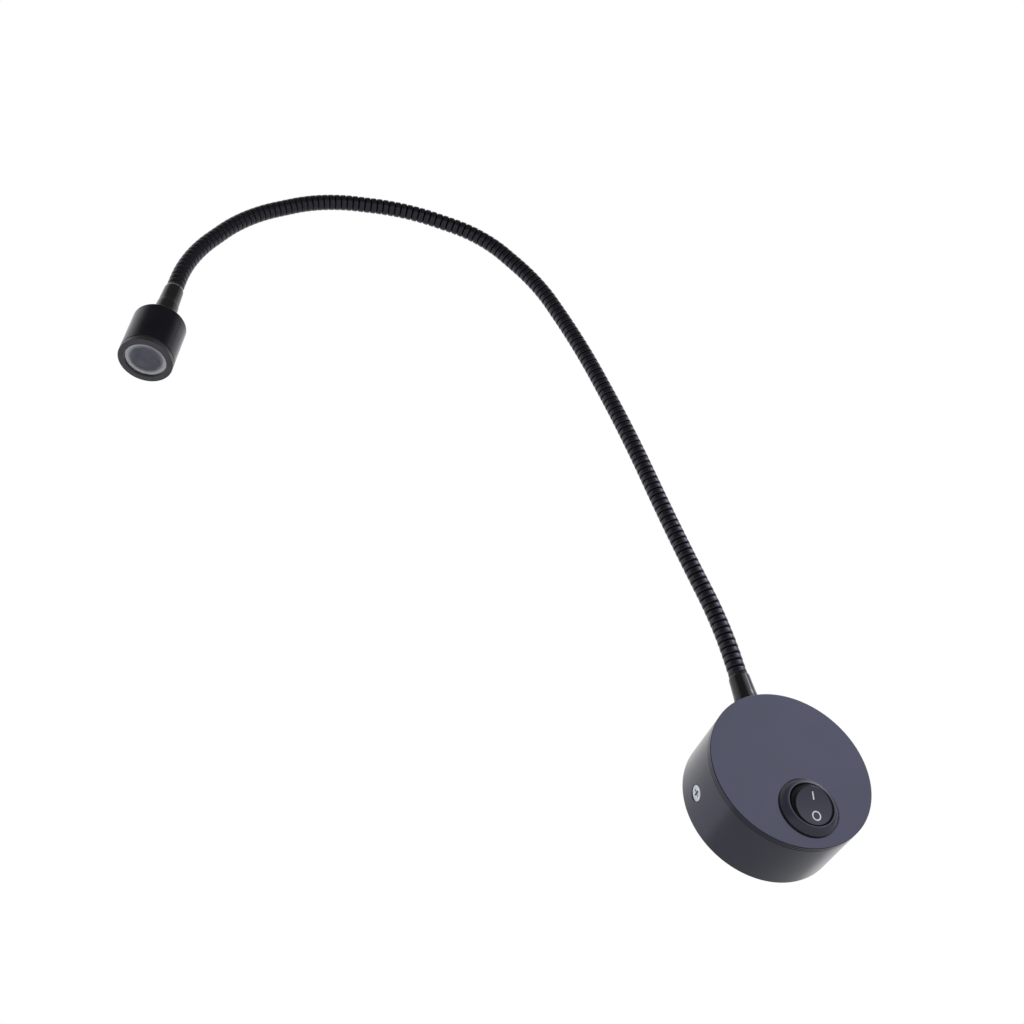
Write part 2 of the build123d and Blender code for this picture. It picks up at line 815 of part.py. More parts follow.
with BuildPart() as terminal_sleeves:
    with BuildSketch(Plane.XY.offset(block_low_z + 0.8)):
        with Locations(*pole_places):
            Circle(sleeve_radius)
            Circle(1.45, mode=Mode.SUBTRACT)
    extrude(amount=block_high_z - block_low_z - 1.6)
    with BuildSketch(Plane.XZ.offset(-terminal_y)):
        with Locations(*screw_places):
            Circle(1.3)
    extrude(amount=-4.0, mode=Mode.SUBTRACT)

screw_tip = 1.0
terminal_screw_length = 2.6
with BuildPart() as terminal_screws:
    with BuildSketch(Plane.XZ.offset(-terminal_y - screw_tip)):
        with Locations(*screw_places):
            Circle(1.25)
    extrude(amount=-terminal_screw_length)
    with BuildSketch(Plane.XZ.offset(-terminal_y - screw_tip - terminal_screw_length)):
        with Locations(*screw_places):
            Rectangle(2.6, 0.4)
    extrude(amount=0.5, mode=Mode.SUBTRACT)

# ---------------------------------------------------------------- leads in the base
core_lead_radius = 0.9
blade_back_y = switch_plane.origin.Y + pivot_depth - blade_tip
common_blade = switch_plane.origin
load_blade = switch_plane.from_local_coords(Vector(0, -7, 0))
lead_end_y = blade_back_y - 2.5
solder_offset = 0.7 + core_lead_radius

live_lead = lead_along(
    [
        (-block_pole_spacing, terminal_y, 15.0),
        (-block_pole_spacing, terminal_y, 22.6),
        (-15.0, -9.6, 23.6),
        (-23.0, -10.0, 19.0),
        (-24.6, -10.2, 9.0),
        (-24.0, -10.4, -2.0),
        (-19.0, -10.6, -11.0),
        (-9.5, -11.0, common_blade.Z + solder_offset),
        (common_blade.X - 0.2, lead_end_y + 1.0, common_blade.Z + solder_offset + 0.1),
    ],
    [2.6, 2.4, 3.4, 5.0, 5.5, 5.5, 4.0],
    core_lead_radius,
)
switched_lead = lead_along(
    [
        (load_blade.X + 0.4, lead_end_y + 1.0, load_blade.Z - solder_offset - 0.1),
        (load_blade.X + 8.6, -11.4, load_blade.Z - solder_offset - 0.4),
        (16.5, -12.4, -23.0),
        (18.5, -13.4, -14.0),
        (16.5, -14.6, -5.8),
        (9.0, -17.2, -2.0),
        (0.5, -19.4, -3.0),
        (switched_hole[0], switched_hole[1], -2.2),
        (switched_hole[0], switched_hole[1], 8.0),
        (switched_hole[0], board_top_y, 8.0),
    ],
    [3.6, 4.0, 4.4, 3.6, 3.6, 3.4, 1.9, 2.3],
    core_lead_radius,
)
neutral_lead = lead_along(
    [
        (block_pole_spacing, terminal_y, 15.0),
        (block_pole_spacing, terminal_y, 22.6),
        (14.6, -9.6, 24.0),
        (21.5, -9.8, 22.5),
        (24.8, -13.5, 18.5),
        (24.6, neutral_hole[0], neutral_hole[1]),
        (15.8, neutral_hole[0], neutral_hole[1]),
        (15.8, board_top_y, neutral_hole[1]),
    ],
    [2.4, 2.4, 2.6, 2.4, 2.4, 2.6],
    core_lead_radius,
)
earth_lead = lead_along(
    [
        (0, terminal_y, 15.0),
        (0, terminal_y, 20.4),
        (1.6, terminal_y + 0.8, 23.6),
        (0, terminal_y, 27.0),
        (0, terminal_y, 32.5),
    ],
    [3.0, 3.0, 3.0],
    core_lead_radius,
)
with BuildPart() as output_lead:
    with BuildLine():
        lead_curve = FilletPolyline(
            (output_hole[0], board_top_y, 20.8),
            (output_hole[0], output_hole[1], 20.8),
            (output_hole[0], output_hole[1], 27.2),
            (0, neck_y, 29.0),
            (0, neck_y, 40.0),
            radius=[2.4, 1.9, 2.6],
        )
        Line(lead_curve @ 1, section_starts[0])
        path_inside(0, 0.0, section_lengths[0] - lead_gap)
    with BuildSketch(Plane(origin=lead_curve @ 0, z_dir=lead_curve % 0)):
        Circle(lead_radius)
    sweep()

# ---------------------------------------------------------------- spot head
hose_end = section_starts[-1]
head_heading = section_headings[-1]
forward = heading_vector(head_heading)
back = forward * -1
fitting_length = ferrule_length + head_boss_length
head_front = hose_end + forward * (fitting_length + head_length)
print("head front centre", [round(value, 3) for value in tuple(head_front)])
head_plane = Plane(origin=head_front, x_dir=(0, 1, 0), z_dir=Vector(0, 1, 0).cross(back))


def across_head(depth):
    """Plane across the head at a depth behind its front face, facing back."""
    return Plane(origin=head_front + back * depth, x_dir=(0, 1, 0), z_dir=back)


boss_top = head_length + head_boss_length
rear_round = [
    (
        head_radius - head_rear_round * (1 - cos(step * pi / 8)),
        head_length - head_rear_round * (1 - sin(step * pi / 8)),
    )
    for step in range(5)
]
head_housing = turned(
    [
        (head_radius - 0.25, ring_length + 0.25),
        (head_radius, ring_length + 0.5),
        *rear_round,
        (head_boss_radius + 0.4, head_length),
        (head_boss_radius, head_length + 0.4),
        (head_boss_radius, boss_top - 0.3),
        (head_boss_radius - 0.3, boss_top),
        (thread_radius, boss_top),
        (thread_radius, head_length - head_back),
        (head_radius - head_wall, head_length - head_back),
        (head_radius - head_wall, ring_length + 0.25),
    ],
    head_plane,
)

ring_skirt_radius = head_radius - head_wall - 0.05
retaining_ring = turned(
    [
        (ring_opening_radius, 0),
        (head_radius - 0.3, 0),
        (head_radius, 0.3),
        (head_radius, ring_length - 0.25),
        (head_radius - 0.25, ring_length),
        (ring_skirt_radius, ring_length),
        (ring_skirt_radius, ring_length + 4.0),
        (ring_skirt_radius - 1.0, ring_length + 4.0),
        (ring_skirt_radius - 1.0, 2.2),
        (ring_opening_radius + 0.3, 2.2),
        (ring_opening_radius, 1.9),
    ],
    head_plane,
)

# domed lens, seated behind the ring
lens_rim_radius = 11.95
lens_front = 2.25
dome_radius = 10.6
dome_front = 0.55
dome_rise = lens_front - dome_front
dome_sphere = (dome_radius**2 + dome_rise**2) / (2 * dome_rise)
dome_halfway = dome_front + dome_sphere - sqrt(dome_sphere**2 - (dome_radius / 2) ** 2)
with BuildPart() as lens:
    with BuildSketch(head_plane):
        with BuildLine():
            Line((0, 3.9), (lens_rim_radius, 3.9))
            Line((lens_rim_radius, 3.9), (lens_rim_radius, lens_front))
            Line((lens_rim_radius, lens_front), (dome_radius, lens_front))
            ThreePointArc(
                (dome_radius, lens_front), (dome_radius / 2, dome_halfway), (0, dome_front)
            )
            Line((0, dome_front), (0, 3.9))
        make_face()
    revolve(axis=Axis(head_front, back))

lens_gasket = turned(
    [(10.5, 3.95), (11.9, 3.95), (11.9, 4.95), (10.5, 4.95)],
    head_plane,
)

board_depth = 14.0
reflector = turned(
    [
        (11.85, 5.0),
        (11.85, 5.8),
        (10.5, 6.2),
        (4.9, board_depth - 0.05),
        (3.9, board_depth - 0.05),
        (9.8, 5.0),
    ],
    head_plane,
)

with BuildPart() as led_emitter:
    with BuildSketch(across_head(board_depth - 0.8)):
        Circle(3.3)
    extrude(amount=0.75)
    with BuildSketch(across_head(board_depth - 1.1)):
        Circle(2.6)
    extrude(amount=0.4)

board_screw_places = [(0, 7.4), (0, -7.4)]
led_board_thickness = 1.6
with BuildPart() as led_board:
    with BuildSketch(across_head(board_depth)):
        Circle(10.4)
        with Locations(*board_screw_places):
            Circle(1.1, mode=Mode.SUBTRACT)
        with Locations((4.6, 0)):
            Circle(1.0, mode=Mode.SUBTRACT)
    extrude(amount=led_board_thickness)

sink_start = board_depth + led_board_thickness
sink_thickness = 5.0
with BuildPart() as heat_sink:
    with BuildSketch(across_head(sink_start)):
        Circle(head_radius - head_wall - 0.05)
        Circle(lead_radius + 0.5, mode=Mode.SUBTRACT)
        with Locations(*board_screw_places):
            Circle(0.85, mode=Mode.SUBTRACT)
    extrude(amount=sink_thickness)
    # turned grooves round the slug
    with BuildSketch(head_plane):
        for groove_at in (1.4, 2.8, 4.2):
            with Locations((head_radius - head_wall, sink_start + groove_at)):
                Rectangle(1.6, 0.5)
    revolve(axis=Axis(head_front, back), mode=Mode.SUBTRACT)

with BuildPart() as board_screws:
    with BuildSketch(across_head(board_depth - 1.2)):
        with Locations(*board_screw_places):
            Circle(1.6)
    extrude(amount=1.2)
    with BuildSketch(across_head(board_depth)):
        with Locations(*board_screw_places):
            Circle(0.8)
    extrude(amount=5.5)
    with BuildSketch(across_head(board_depth - 1.2)):
        with Locations(*board_screw_places):
            Rectangle(1.9, 0.4)
            Rectangle(0.4, 1.9)
    extrude(amount=0.6, mode=Mode.SUBTRACT)

inner_back = head_length - head_back
head_washer_thickness = 0.6
with BuildPart() as head_washer:
    with BuildSketch(across_head(inner_back - head_washer_thickness)):
        Circle(7.6)
        Circle(stub_radius + 0.15, mode=Mode.SUBTRACT)
    extrude(amount=head_washer_thickness)

with BuildPart() as head_locknut:
    with BuildSketch(across_head(inner_back - head_washer_thickness - nut_thickness)):
        RegularPolygon(nut_across_flats / 2, 6, major_radius=False)
        Circle(thread_radius, mode=Mode.SUBTRACT)
    extrude(amount=nut_thickness)
    chamfer(head_locknut.edges().filter_by(Axis(head_front, back)), 0.3)

head_ferrule_plane = Plane(origin=head_front + back * boss_top, x_dir=(0, 1, 0), z_dir=head_plane.z_dir)
head_ferrule = turned(sleeve_profile(ferrule_length), head_ferrule_plane)
stub_reach = boss_top - (inner_back - head_washer_thickness - nut_thickness - 0.8)
head_stub = turned(
    [
        (lead_radius + 0.5, -stub_reach),
        (stub_radius - 0.4, -stub_reach),
        (stub_radius, -stub_reach + 0.4),
        (stub_radius, stub_top),
        (lead_radius + 0.5, stub_top),
    ],
    head_ferrule_plane,
)

last = section_count - 1
with BuildPart() as head_lead:
    with BuildLine():
        path_inside(last, lead_gap, section_lengths[last])
        Line(hose_end, head_front + back * (sink_start + 0.1))
    with BuildSketch(hose_plane(last, lead_gap)):
        Circle(lead_radius)
    sweep()

# ---------------------------------------------------------------- write the pieces
pieces = {
    "base_housing": base_housing,
    "wall_bracket": wall_bracket,
    "bracket_screws": bracket_screws,
    "base_ferrule": base_ferrule,
    "base_threaded_end": base_stub,
    "base_lock_washer": base_washer,
    "base_locknut": base_locknut,
    "earth_tag": earth_tag,
    "switch_housing": switch_housing,
    "switch_terminals": switch_terminals,
    "rocker_button": rocker_button,
    "switch_plunger": switch_plunger,
    "switch_spring": switch_spring,
    "contact_lever": contact_lever,
    "driver_pad": driver_pad,
    "driver_case": driver_case,
    "driver_lid": driver_lid,
    "driver_board": driver_board,
    "driver_transformer": driver_transformer,
    "driver_capacitors": driver_capacitors,
    "terminal_block": terminal_block,
    "terminal_sleeves": terminal_sleeves,
    "terminal_screws": terminal_screws,
    "live_lead": live_lead,
    "switched_lead": switched_lead,
    "neutral_lead": neutral_lead,
    "earth_lead": earth_lead,
    "neck_lead_01": output_lead,
    "neck_lead_10": head_lead,
    "head_ferrule": head_ferrule,
    "head_threaded_end": head_stub,
    "head_lock_washer": head_washer,
    "head_locknut": head_locknut,
    "head_housing": head_housing,
    "heat_sink": heat_sink,
    "led_board": led_board,
    "led_emitter": led_emitter,
    "board_screws": board_screws,
    "reflector": reflector,
    "lens": lens,
    "lens_gasket": lens_gasket,
    "retaining_ring": retaining_ring,
}
for index in range(section_count):
    pieces[f"neck_section_{index + 1:02d}"] = hose_sections[index]
for index in range(1, section_count - 1):
    pieces[f"neck_lead_{index + 1:02d}"] = hose_leads[index - 1]

for node, piece in pieces.items():
    piece.part.label = node
    export_step(piece.part, f"parts/{node}.step")
print(len(pieces), "pieces written")
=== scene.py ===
"""Bedside wall reading lamp: the finishes, the ribbed neck, the studio and the camera.
Metres, +Z up, +Y into the wall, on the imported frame."""
from math import cos, pi, radians, sin, sqrt

import bmesh
import bpy
from mathutils import Matrix, Vector


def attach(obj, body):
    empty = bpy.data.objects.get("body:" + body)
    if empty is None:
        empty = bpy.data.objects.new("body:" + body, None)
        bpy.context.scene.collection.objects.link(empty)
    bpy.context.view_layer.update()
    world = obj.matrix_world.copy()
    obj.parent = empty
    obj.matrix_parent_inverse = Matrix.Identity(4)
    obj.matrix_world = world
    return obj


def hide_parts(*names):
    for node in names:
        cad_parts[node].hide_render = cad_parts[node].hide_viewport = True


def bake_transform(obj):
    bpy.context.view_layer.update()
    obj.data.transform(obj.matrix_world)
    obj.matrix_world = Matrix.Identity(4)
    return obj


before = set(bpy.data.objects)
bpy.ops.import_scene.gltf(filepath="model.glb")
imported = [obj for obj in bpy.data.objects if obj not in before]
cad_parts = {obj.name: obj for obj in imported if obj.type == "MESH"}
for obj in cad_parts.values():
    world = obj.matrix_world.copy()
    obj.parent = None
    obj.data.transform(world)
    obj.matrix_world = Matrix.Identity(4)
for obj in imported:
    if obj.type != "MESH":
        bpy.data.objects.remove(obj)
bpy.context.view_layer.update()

MM = 0.001

# the neck's own sizes, in metres and degrees
NECK_Y = -17.7 * MM
HOSE_START_Z = 63.5 * MM
RIB_PITCH = 3.95 * MM
RIB_COUNTS = [14, 19, 19, 17, 13, 13, 13, 14, 14, 15]
SECTION_TURNS = [9, -2, 3.5, 6, 18.5, 34.5, 20.5, 28, 24, 23.8]
OUTER_STRAIGHT = 9.4 * MM
JOINT_STRAIGHT = 5.4 * MM
CREST_RADIUS = 4.8 * MM
GROOVE_RADIUS = 4.15 * MM
HOSE_WALL = 1.5 * MM
RINGS_PER_RIB = 14
HOSE_SIDES = 44
GROOVE_PHASE = 1.875 * MM
HIDDEN_RIBS = 3
POINTS_PER_RIB = 4

# the head's front: its heading, and its way beyond the hose over sleeve, boss and barrel
HEAD_HEADING = radians(sum(SECTION_TURNS))
HEAD_REACH = (24.1 + 6.8 + 30.5) * MM

# the rocker's top, in its own directions
PIVOT = Vector((1.6, -32.65, -20.3)) * MM
SWITCH_TURN = radians(4.0)
ROCK_HALF_ANGLE = radians(10.7)
DISH_HEIGHT = 7.5 * MM
DISH_RADIUS = 114.4 * MM

# the printed marks reach from just under the plastic to just over it
MARK_LIFTS = (-0.02 * MM, 0.03 * MM)

# points nearer than this are one point
MERGE_DISTANCE = 0.001 * MM

# the photograph's camera, fitted to the lamp in it
CAMERA_PLACE = (-0.3100, -0.4906, -0.2462)
CAMERA_RIGHT = (0.9478, -0.2686, -0.1720)
CAMERA_FORWARD = (0.3160, 0.7169, 0.6214)
SENSOR_MM = 36.0
FOCAL_PIXELS = 1250
IMAGE_PIXELS = 1024

# how bright the studio looks to gloss and to matt parts, and where the backdrop begins,
# counted along +Y of a direction of length one
BACKDROP_BRIGHTNESS = 1.0
ROOM_BRIGHTNESS = 0.2
MATT_BRIGHTNESS = 0.8
BACKDROP_EDGE = (-0.41, 0.08)


# ---------------------------------------------------------------- camera
def place_camera():
    """The photograph's viewpoint: below and to the left of the lamp, looking up."""
    forward = Vector(CAMERA_FORWARD).normalized()
    down = forward.cross(Vector(CAMERA_RIGHT).normalized()).normalized()
    right = down.cross(forward).normalized()
    turn = Matrix((right, -down, -forward)).transposed().to_4x4()
    data = bpy.data.cameras.new("photo_camera")
    data.sensor_width = SENSOR_MM
    data.lens = SENSOR_MM * FOCAL_PIXELS / IMAGE_PIXELS
    data.clip_start = 0.01
    camera = bpy.data.objects.new("photo_camera", data)
    camera.matrix_world = Matrix.Translation(CAMERA_PLACE) @ turn
    bpy.context.scene.collection.objects.link(camera)
    bpy.context.scene.camera = camera


# ---------------------------------------------------------------- node helpers
def linear(hex_colour):
    """An sRGB hex colour as linear RGBA."""
    values = [int(hex_colour[i:i + 2], 16) / 255 for i in (1, 3, 5)]
    return [v / 12.92 if v <= 0.04045 else ((v + 0.055) / 1.055) ** 2.4 for v in values] + [1.0]


def add(tree, kind, settings=None, inputs=None, links=None):
    """Adds a node with its settings, its input values and its incoming links."""
    node = tree.nodes.new(kind)
    for name, value in (settings or {}).items():
        setattr(node, name, value)
    for name, value in (inputs or {}).items():
        node.inputs[name].default_value = value
    for name, source in (links or {}).items():
        tree.links.new(source, node.inputs[name])
    return node


def new_material(name, colour, roughness, metallic=0.0, **surface):
    """A named material and its Principled shader."""
    material = bpy.data.materials.new(name)
    material.use_nodes = True
    tree = material.node_tree
    shader = tree.nodes["Principled BSDF"]
    shader.inputs["Base Color"].default_value = linear(colour)
    shader.inputs["Roughness"].default_value = roughness
    shader.inputs["Metallic"].default_value = metallic
    for socket, value in surface.items():
        shader.inputs[socket.replace("_", " ").title().replace("Ior", "IOR")].default_value = value
    return material, tree, shader


def grain(tree, size_mm, detail=2.0, stretch=(1, 1, 1)):
    """A cloudy pattern of that size on the object's own coordinates."""
    place = add(tree, "ShaderNodeTexCoord")
    mapping = add(
        tree,
        "ShaderNodeMapping",
        inputs={"Scale": stretch},
        links={"Vector": place.outputs["Object"]},
    )
    noise = add(
        tree,
        "ShaderNodeTexNoise",
        inputs={"Scale": 1 / (size_mm * MM), "Detail": detail},
        links={"Vector": mapping.outputs["Vector"]},
    )
    return noise.outputs["Fac"]


def raise_surface(tree, shader, pattern, height_mm):
    """Bumps the surface by a pattern of that height."""
    bump = add(
        tree,
        "ShaderNodeBump",
        inputs={"Distance": height_mm * MM, "Strength": 1.0},
        links={"Height": pattern},
    )
    tree.links.new(bump.outputs["Normal"], shader.inputs["Normal"])


def distance_from_axis(tree, middle, turn, across):
    """Each point's distance from a straight axis through the middle. After the turn, the
    directions that count are the two where across is 1."""
    centred = add(
        tree,
        "ShaderNodeMapping",
        {"vector_type": "TEXTURE"},
        {"Location": middle, "Rotation": turn},
        {"Vector": add(tree, "ShaderNodeTexCoord").outputs["Object"]},
    )
    flattened = add(
        tree,
        "ShaderNodeVectorMath",
        {"operation": "MULTIPLY"},
        {1: across},
        {0: centred.outputs["Vector"]},
    )
    distance = add(tree, "ShaderNodeVectorMath", {"operation": "LENGTH"}, links={0: flattened.outputs[0]})
    return distance.outputs["Value"]


def vary(tree, shader, socket, pattern, low, high, span=(0.3, 0.7)):
    """Lets a number of the shader go from one value to another over a pattern's span."""
    spread = add(
        tree,
        "ShaderNodeMapRange",
        inputs={"From Min": span[0], "From Max": span[1], "To Min": low, "To Max": high},
        links={"Value": pattern},
    )
    tree.links.new(spread.outputs["Result"], shader.inputs[socket])


def tint(tree, shader, pattern, first, second, span=(0.35, 0.65)):
    """Blends the base colour between two colours with a pattern."""
    share = add(
        tree,
        "ShaderNodeMapRange",
        inputs={"From Min": span[0], "From Max": span[1]},
        links={"Value": pattern},
    )
    mix = add(
        tree,
        "ShaderNodeMix",
        {"data_type": "RGBA"},
        {6: linear(first), 7: linear(second)},
        {0: share.outputs["Result"]},
    )
    tree.links.new(mix.outputs[2], shader.inputs["Base Color"])


# ---------------------------------------------------------------- finishes seen from outside
def blasted_anodised_aluminium():
    """Aluminium blasted with fine grit and dyed blue-black in the anodising bath: the oxide
    layer shines softly and turns bright only at grazing angles. The grit marks are 0.05 mm
    and are drawn at 0.3 mm, so that they show."""
    material, tree, shader = new_material("blasted_anodised_aluminium", "#43444e", 0.22, 1.0)
    raise_surface(tree, shader, grain(tree, 0.3), 0.004)
    vary(tree, shader, "Roughness", grain(tree, 2.0, 3.0), 0.215, 0.225)
    tint(tree, shader, grain(tree, 14.0), "#43444d", "#44454f")
    return material


def turned_anodised_aluminium():
    """Finely turned aluminium anodised black: a smooth satin, faintly uneven."""
    material, tree, shader = new_material("turned_anodised_aluminium", "#33333a", 0.21, 1.0)
    raise_surface(tree, shader, grain(tree, 0.25), 0.002)
    vary(tree, shader, "Roughness", grain(tree, 5.0), 0.19, 0.23)
    tint(tree, shader, grain(tree, 9.0), "#313137", "#35353d")
    return material


def faced_anodised_ring():
    """The front ring, faced off flat on the lathe and anodised: a dull dark grey."""
    material, tree, shader = new_material("faced_anodised_ring", "#535357", 0.36, 1.0)
    raise_surface(tree, shader, grain(tree, 0.25), 0.003)
    vary(tree, shader, "Roughness", grain(tree, 3.0), 0.34, 0.42)
    tint(tree, shader, grain(tree, 6.0), "#505054", "#56565a")
    return material


def blackened_steel_hose():
    """The wound steel hose, blackened: satin crests, and painted shade darkening the grooves nearly to
    black.
    """
    material, tree, shader = new_material("blackened_steel_hose", "#3a3a41", 0.27, 1.0)
    crest = add(tree, "ShaderNodeAttribute", {"attribute_name": "crest"})
    # painted shade: the stored rib height colours the grooves nearly black, as the shade in the hollows
    # between the ribs
    tint(tree, shader, crest.outputs["Fac"], "#08080a", "#3b3b42", (0.15, 0.85))
    raise_surface(tree, shader, grain(tree, 0.3), 0.003)
    vary(tree, shader, "Roughness", grain(tree, 2.0), 0.24, 0.31)
    return material


def gloss_black_lacquer():
    """Baked gloss lacquer over turned brass: a deep black that mirrors the room."""
    material, tree, shader = new_material("gloss_black_lacquer", "#060607", 0.14)
    raise_surface(tree, shader, grain(tree, 1.6, 1.0), 0.002)
    vary(tree, shader, "Roughness", grain(tree, 3.0), 0.11, 0.17)
    return material


def moulded_black_polyamide():
    """The switch's moulded black plastic: fine spark-eroded texture, soft highlights."""
    material, tree, shader = new_material("moulded_black_polyamide", "#252535", 0.3, IOR=1.53)
    raise_surface(tree, shader, grain(tree, 0.2, 3.0), 0.006)
    vary(tree, shader, "Roughness", grain(tree, 2.0), 0.28, 0.32)
    tint(tree, shader, grain(tree, 4.0), "#242434", "#272738")
    return material


def rocker_polyamide_painted_shade():
    """The rocker's moulded black plastic: a satin top, and a side with painted shade, nearly black with
    its gloss turned down, so that it reads as the dark crescent between the top and the bezel."""
    material, tree, shader = new_material("rocker_polyamide_painted_shade", "#252535", 0.3, IOR=1.53)
    raise_surface(tree, shader, grain(tree, 0.2, 3.0), 0.006)
    vary(tree, shader, "Roughness", grain(tree, 2.0), 0.28, 0.32)
    # painted shade: the rocker's side, 8.6 to 9.1 mm out from the middle, is coloured nearly black and its
    # reflection turned down, standing for the shadow in the gap to the bezel
    from_middle = distance_from_axis(tree, PIVOT, (ROCK_HALF_ANGLE, SWITCH_TURN, 0), (1, 0, 1))
    painted_shade_band = (8.6 * MM, 9.1 * MM)
    tint(tree, shader, from_middle, "#252535", "#060607", painted_shade_band)
    vary(tree, shader, "Specular IOR Level", from_middle, 0.5, 0.12, painted_shade_band)
    return material


def white_pad_print():
    """White pad-printing ink: matt, a little thin over the plastic's texture."""
    material, tree, shader = new_material("white_pad_print", "#dadbe0", 0.55)
    raise_surface(tree, shader, grain(tree, 0.2, 3.0), 0.004)
    tint(tree, shader, grain(tree, 0.35), "#c9cad0", "#e2e3e8")
    return material


def moulded_acrylic_lens():
    """Moulded acrylic lens: a clear, faintly smoky middle that shows the reflector behind
    it, and a rim left frosted, which scatters the daylight and reads as a pale band."""
    material, tree, shader = new_material("moulded_acrylic_lens", "#a6a9b8", 0.28, IOR=1.49)
    raise_surface(tree, shader, grain(tree, 1.5), 0.004)
    middle = hose_sections()[-1].point(RIB_COUNTS[-1] * RIB_PITCH + HEAD_REACH)
    from_middle = distance_from_axis(tree, middle, (0, -HEAD_HEADING, 0), (1, 1, 0))
    vary(tree, shader, "Roughness", from_middle, 0.28, 0.5, (7.0 * MM, 10.2 * MM))
    vary(tree, shader, "Transmission Weight", from_middle, 0.95, 0.05, (7.3 * MM, 10.4 * MM))
    tint(tree, shader, from_middle, "#a6a9b8", "#fafbfd", (8.3 * MM, 10.0 * MM))
    return material


def zinc_plated_steel():
    """Pressed steel with bright blue-passivated zinc: cool silver with pale spangle."""
    material, tree, shader = new_material("zinc_plated_steel", "#b9bec6", 0.3, 1.0)
    spangle = add(
        tree,
        "ShaderNodeTexVoronoi",
        inputs={"Scale": 1 / (1.4 * MM)},
        links={"Vector": add(tree, "ShaderNodeTexCoord").outputs["Object"]},
    )
    vary(tree, shader, "Roughness", spangle.outputs["Color"], 0.24, 0.38)
    tint(tree, shader, grain(tree, 2.5, 3.0), "#aab0ba", "#c8ccd3")
    raise_surface(tree, shader, grain(tree, 0.6, 3.0), 0.006)
    return material


# ---------------------------------------------------------------- finishes inside
def turned_plain_steel():
    """Plain turned steel, oiled: grey and fairly bright."""
    material, tree, shader = new_material("turned_plain_steel", "#9b9da0", 0.28, 1.0)
    tint(tree, shader, grain(tree, 2.0, 3.0), "#8d8f92", "#a8aaad")
    raise_surface(tree, shader, grain(tree, 0.3, 2.0, (1, 1, 8)), 0.004)
    return material


def drawn_spring_steel():
    """Drawn music wire: bright, its grey a little uneven."""
    material, tree, shader = new_material("drawn_spring_steel", "#8f9196", 0.24, 1.0)
    tint(tree, shader, grain(tree, 0.5), "#85878c", "#9a9ca1")
    return material


def stamped_brass():
    """Stamped brass strip: warm yellow, dulled a little by handling."""
    material, tree, shader = new_material("stamped_brass", "#c9a85e", 0.3, 1.0)
    tint(tree, shader, grain(tree, 1.5, 3.0), "#b8954b", "#d4b56c")
    raise_surface(tree, shader, grain(tree, 0.4), 0.004)
    return material


def moulded_white_abs():
    """Moulded white ABS of the driver's box: slightly warm, finely eroded surface."""
    material, tree, shader = new_material("moulded_white_abs", "#d9d8d2", 0.45, IOR=1.54)
    raise_surface(tree, shader, grain(tree, 0.35, 3.0), 0.01)
    tint(tree, shader, grain(tree, 8.0), "#d3d2cb", "#dddcd7")
    return material


def moulded_clear_white_polyamide():
    """Milky polyamide of the terminal block: lets a little light through."""
    material, tree, shader = new_material(
        "moulded_clear_white_polyamide",
        "#dcdad0",
        0.38,
        IOR=1.53,
        Subsurface_Weight=0.3,
        Subsurface_Scale=1.5 * MM,
    )
    raise_surface(tree, shader, grain(tree, 0.5), 0.006)
    tint(tree, shader, grain(tree, 3.0), "#d5d2c6", "#e0ded6")
    return material


def foam_pad():
    """Grey double-sided foam: open cells of half a millimetre."""
    material, tree, shader = new_material("foam_pad", "#6f7175", 0.9)
    cells = grain(tree, 0.5, 3.0)
    raise_surface(tree, shader, cells, 0.12)
    tint(tree, shader, cells, "#5c5e62", "#7c7e82")
    return material


def solder_mask_board():
    """Glass-epoxy board under green solder mask: glossy, with the weave just showing."""
    material, tree, shader = new_material("solder_mask_board", "#1d5a34", 0.3, IOR=1.55)
    weave = grain(tree, 0.6, 1.0, (1, 1, 3))
    tint(tree, shader, weave, "#1a5230", "#216239")
    raise_surface(tree, shader, weave, 0.006)
    return material


def wound_transformer_tape():
    """Yellow polyester tape wound round the transformer: glossy, in overlapping turns."""
    material, tree, shader = new_material("wound_transformer_tape", "#d9a928", 0.28, IOR=1.57)
    folds = grain(tree, 2.0, 2.0, (0.3, 0.3, 2.0))
    raise_surface(tree, shader, folds, 0.08)
    tint(tree, shader, folds, "#cd9c1f", "#e0b336")
    return material


def sleeved_capacitor():
    """Shrunk black sleeve on the capacitors: glossy and lightly wrinkled."""
    material, tree, shader = new_material("sleeved_capacitor", "#16181c", 0.25)
    raise_surface(tree, shader, grain(tree, 1.5, 2.0), 0.03)
    tint(tree, shader, grain(tree, 2.5), "#131518", "#1b1e23")
    return material


def pvc_insulation(name, colour, worn):
    """Extruded PVC on a lead: waxy, faintly uneven in colour along the wire."""
    material, tree, shader = new_material(name, colour, 0.4, IOR=1.53)
    raise_surface(tree, shader, grain(tree, 0.8), 0.01)
    tint(tree, shader, grain(tree, 3.0, 2.0), colour, worn)
    return material


def green_yellow_insulation():
    """The earth lead's PVC: green with a yellow stripe, as every earth lead has."""
    material, tree, shader = new_material("green_yellow_insulation", "#2f7d38", 0.4, IOR=1.53)
    place = add(tree, "ShaderNodeTexCoord")
    stripes = add(
        tree,
        "ShaderNodeTexWave",
        {"wave_type": "BANDS", "bands_direction": "DIAGONAL"},
        {"Scale": 1 / (18 * MM), "Distortion": 0.4},
        {"Vector": place.outputs["Object"]},
    )
    tint(tree, shader, stripes.outputs["Fac"], "#2f7d38", "#d8c136", (0.62, 0.66))
    return material


def milled_bare_aluminium():
    """Bare milled aluminium of the heat sink: pale grey with fine cutter lines."""
    material, tree, shader = new_material("milled_bare_aluminium", "#c3c5c7", 0.3, 1.0)
    raise_surface(tree, shader, grain(tree, 0.4, 2.0, (1, 6, 1)), 0.006)
    tint(tree, shader, grain(tree, 2.0), "#b7b9bb", "#cdcfd1")
    return material


